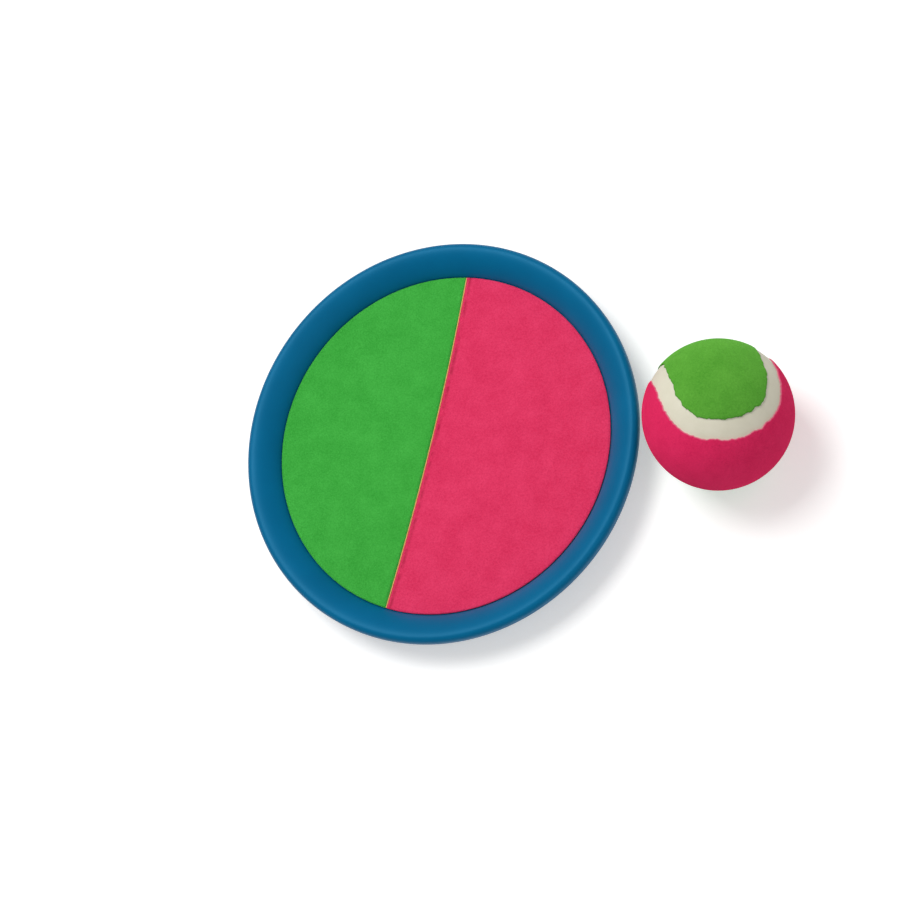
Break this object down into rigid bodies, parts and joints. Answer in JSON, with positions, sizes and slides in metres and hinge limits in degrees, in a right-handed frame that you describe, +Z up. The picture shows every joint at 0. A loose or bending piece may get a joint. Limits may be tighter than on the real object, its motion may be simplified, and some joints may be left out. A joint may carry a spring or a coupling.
{
  "type": "toss and catch set",
  "caption": "Round catch paddle with a two-colour cloth face, raised moulded rim and hand strap behind, with a soft ball covered by two interlocking felt panels standing beside it",
  "frame": {"origin": "on the floor, under the middle of the whole set's bounding box", "axes": "+X from the paddle to the ball, +Y across, +Z up out of the paddle's face"},
  "size_m": [0.2477, 0.18, 0.062],
  "materials": {
    "blue_plastic": "moulded, satin sheen",
    "green_cloth": "brushed loop cloth",
    "pink_cloth": "brushed loop cloth",
    "strap_webbing": "woven webbing",
    "cream_rubber": "matte",
    "green_felt": "rough-cut felt",
    "pink_felt": "rough-cut felt"
  },
  "bodies": {
    "root": {"paddle_shell": "blue_plastic", "green_face": "green_cloth", "pink_face": "pink_cloth", "hand_strap": "strap_webbing", "ball_core": "cream_rubber", "ball_green_panel": "green_felt", "ball_pink_panel": "pink_felt"}
  },
  "joints": []
}
